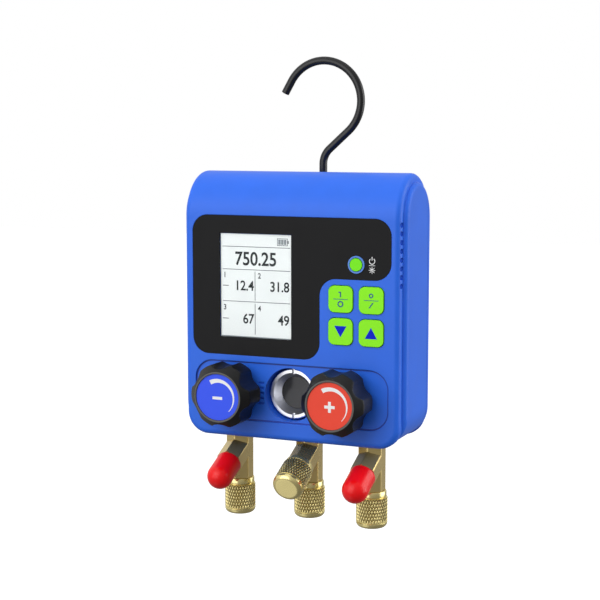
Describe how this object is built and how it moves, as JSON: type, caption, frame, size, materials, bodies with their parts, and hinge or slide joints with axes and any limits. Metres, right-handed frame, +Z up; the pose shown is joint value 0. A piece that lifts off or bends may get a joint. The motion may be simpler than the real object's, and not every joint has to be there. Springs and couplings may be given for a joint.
{
  "type": "refrigerant manifold gauge",
  "caption": "Handheld digital refrigerant manifold gauge with valve knobs, sight glass, capped hose ports and a hanging hook.",
  "frame": {"origin": "point where the hook hangs: inside top of the hook, on its swivel axis, in the plane of the back", "axes": "+X to the right as seen from the front, +Y to the back, +Z up"},
  "size_m": [0.117, 0.0688, 0.2309],
  "materials": {
    "case_blue": "fine sand texture",
    "fascia_black": "satin film with a printed border",
    "clear_window": "clear acrylic",
    "display_face": "pale liquid crystal panel",
    "key_lime": "silicone rubber",
    "power_green": "smooth",
    "ring_blue": "smooth",
    "knob_black": "fine moulded grain",
    "disc_blue": "smooth printed disc",
    "disc_red": "smooth printed disc",
    "brass": "machined",
    "cap_brass": "knurled and lacquered",
    "vinyl_red": "glossy dipped vinyl",
    "hook_black": "satin black coating",
    "chrome": "polished",
    "sight_dark": "dark thick glass",
    "inner_plastic": "moulded",
    "board_green": "solder mask",
    "switch_black": "moulded",
    "steel": "brushed",
    "alloy": "machined",
    "cell_wrap": "printed sleeve",
    "seal_rubber": "matt",
    "seat_polymer": "turned"
  },
  "bodies": {
    "case": {"front_shell": "case_blue", "rear_shell": "case_blue", "battery_cells": "cell_wrap", "battery_contacts": "steel", "fascia_overlay": "fascia_black", "display_window": "clear_window", "display_module": "display_face", "display_holder": "inner_plastic", "main_board": "board_green", "board_screws": "steel", "case_screws": "steel", "block_screws": "steel", "tact_switches": "switch_black", "power_ring": "ring_blue", "manifold_block": "alloy", "low_pressure_sensor": "steel", "high_pressure_sensor": "steel", "sight_bezel": "chrome", "sight_seal": "seal_rubber", "sight_glass": "sight_dark", "low_packing_nut": "brass", "high_packing_nut": "brass", "low_port_fitting": "brass", "centre_port_fitting": "brass", "high_port_fitting": "brass", "port_rings": "seal_rubber", "hook_washer": "steel"},
    "hook_body": {"hook": "hook_black", "hook_retaining_ring": "steel"},
    "door": {"battery_door": "case_blue"},
    "power": {"power_button": "power_green"},
    "fn_key_body": {"fn_key": "key_lime"},
    "unit_key_body": {"unit_key": "key_lime"},
    "down_key_body": {"down_key": "key_lime"},
    "up_key_body": {"up_key": "key_lime"},
    "low_valve_seat": {"low_seat_disc": "seat_polymer"},
    "low_valve_knob": {"low_knob": "knob_black", "low_knob_disc": "disc_blue", "low_knob_screw": "steel", "low_stem": "steel", "low_stem_rings": "seal_rubber"},
    "high_valve_seat": {"high_seat_disc": "seat_polymer"},
    "high_valve_knob": {"high_knob": "knob_black", "high_knob_disc": "disc_red", "high_knob_screw": "steel", "high_stem": "steel", "high_stem_rings": "seal_rubber"},
    "low_cap_gasket_body": {"low_cap_gasket": "seal_rubber"},
    "low_port_cap_body": {"low_port_cap": "cap_brass"},
    "centre_cap_gasket_body": {"centre_cap_gasket": "seal_rubber"},
    "centre_port_cap_body": {"centre_port_cap": "cap_brass"},
    "high_cap_gasket_body": {"high_cap_gasket": "seal_rubber"},
    "high_port_cap_body": {"high_port_cap": "cap_brass"},
    "side_cap_gasket_body": {"side_cap_gasket": "seal_rubber"},
    "side_port_cap_body": {"side_port_cap": "cap_brass"},
    "low_vinyl_cap_body": {"low_vinyl_cap": "vinyl_red"},
    "high_vinyl_cap_body": {"high_vinyl_cap": "vinyl_red"}
  },
  "joints": [
    {"name": "hook_swivel", "type": "hinge", "parent": "case", "child": "hook_body", "pos_m": [0, 0, 0], "axis": [0, 0, 1], "continuous": true},
    {"name": "battery_door_tilt", "type": "hinge", "parent": "case", "child": "door", "pos_m": [0, -0.001, -0.1502], "axis": [-1, 0, 0], "range_deg": [0, 70]},
    {"name": "power_button_press", "type": "slide", "parent": "case", "child": "power", "axis": [0, 1, 0], "range_m": [0, 0.0008], "stiffness_N_per_m": 400},
    {"name": "fn_key_press", "type": "slide", "parent": "case", "child": "fn_key_body", "axis": [0, 1, 0], "range_m": [0, 0.0008], "stiffness_N_per_m": 400},
    {"name": "unit_key_press", "type": "slide", "parent": "case", "child": "unit_key_body", "axis": [0, 1, 0], "range_m": [0, 0.0008], "stiffness_N_per_m": 400},
    {"name": "down_key_press", "type": "slide", "parent": "case", "child": "down_key_body", "axis": [0, 1, 0], "range_m": [0, 0.0008], "stiffness_N_per_m": 400},
    {"name": "up_key_press", "type": "slide", "parent": "case", "child": "up_key_body", "axis": [0, 1, 0], "range_m": [0, 0.0008], "stiffness_N_per_m": 400},
    {"name": "low_valve_travel", "type": "slide", "parent": "case", "child": "low_valve_seat", "axis": [0, -1, 0], "range_m": [0, 0.0025]},
    {"name": "low_valve_turn", "type": "hinge", "parent": "low_valve_seat", "child": "low_valve_knob", "pos_m": [-0.02905, -0.0434, -0.16015], "axis": [0, -1, 0], "range_deg": [0, 720]},
    {"name": "high_valve_travel", "type": "slide", "parent": "case", "child": "high_valve_seat", "axis": [0, -1, 0], "range_m": [0, 0.0025]},
    {"name": "high_valve_turn", "type": "hinge", "parent": "high_valve_seat", "child": "high_valve_knob", "pos_m": [0.02905, -0.0434, -0.16015], "axis": [0, -1, 0], "range_deg": [0, 720]},
    {"name": "low_port_cap_travel", "type": "slide", "parent": "case", "child": "low_cap_gasket_body", "axis": [0, 0, -1], "range_m": [0, 0.007]},
    {"name": "low_port_cap_turn", "type": "hinge", "parent": "low_cap_gasket_body", "child": "low_port_cap_body", "pos_m": [-0.03586, -0.024, -0.2083], "axis": [0, 0, -1], "range_deg": [0, 1980]},
    {"name": "centre_port_cap_travel", "type": "slide", "parent": "case", "child": "centre_cap_gasket_body", "axis": [0, 0, -1], "range_m": [0, 0.007]},
    {"name": "centre_port_cap_turn", "type": "hinge", "parent": "centre_cap_gasket_body", "child": "centre_port_cap_body", "pos_m": [0, -0.0178, -0.2083], "axis": [0, 0, -1], "range_deg": [0, 1980]},
    {"name": "high_port_cap_travel", "type": "slide", "parent": "case", "child": "high_cap_gasket_body", "axis": [0, 0, -1], "range_m": [0, 0.007]},
    {"name": "high_port_cap_turn", "type": "hinge", "parent": "high_cap_gasket_body", "child": "high_port_cap_body", "pos_m": [0.03586, -0.024, -0.2083], "axis": [0, 0, -1], "range_deg": [0, 1980]},
    {"name": "side_port_cap_travel", "type": "slide", "parent": "case", "child": "side_cap_gasket_body", "axis": [0, -0.9063, -0.4226], "range_m": [0, 0.007]},
    {"name": "side_port_cap_turn", "type": "hinge", "parent": "side_cap_gasket_body", "child": "side_port_cap_body", "pos_m": [0, -0.0178, -0.1924], "axis": [0, -0.9063, -0.4226], "range_deg": [0, 1980]},
    {"name": "low_vinyl_cap_pull", "type": "slide", "parent": "case", "child": "low_vinyl_cap_body", "axis": [0, -0.9063, -0.4226], "range_m": [0, 0.014]},
    {"name": "high_vinyl_cap_pull", "type": "slide", "parent": "case", "child": "high_vinyl_cap_body", "axis": [0, -0.9063, -0.4226], "range_m": [0, 0.014]}
  ],
  "couplings": [
    {"joint": "low_valve_travel", "follows": "low_valve_turn", "m_per_rad": 0.00019894},
    {"joint": "high_valve_travel", "follows": "high_valve_turn", "m_per_rad": 0.00019894},
    {"joint": "low_port_cap_travel", "follows": "low_port_cap_turn", "m_per_rad": 0.00020213},
    {"joint": "centre_port_cap_travel", "follows": "centre_port_cap_turn", "m_per_rad": 0.00020213},
    {"joint": "high_port_cap_travel", "follows": "high_port_cap_turn", "m_per_rad": 0.00020213},
    {"joint": "side_port_cap_travel", "follows": "side_port_cap_turn", "m_per_rad": 0.00020213}
  ]
}
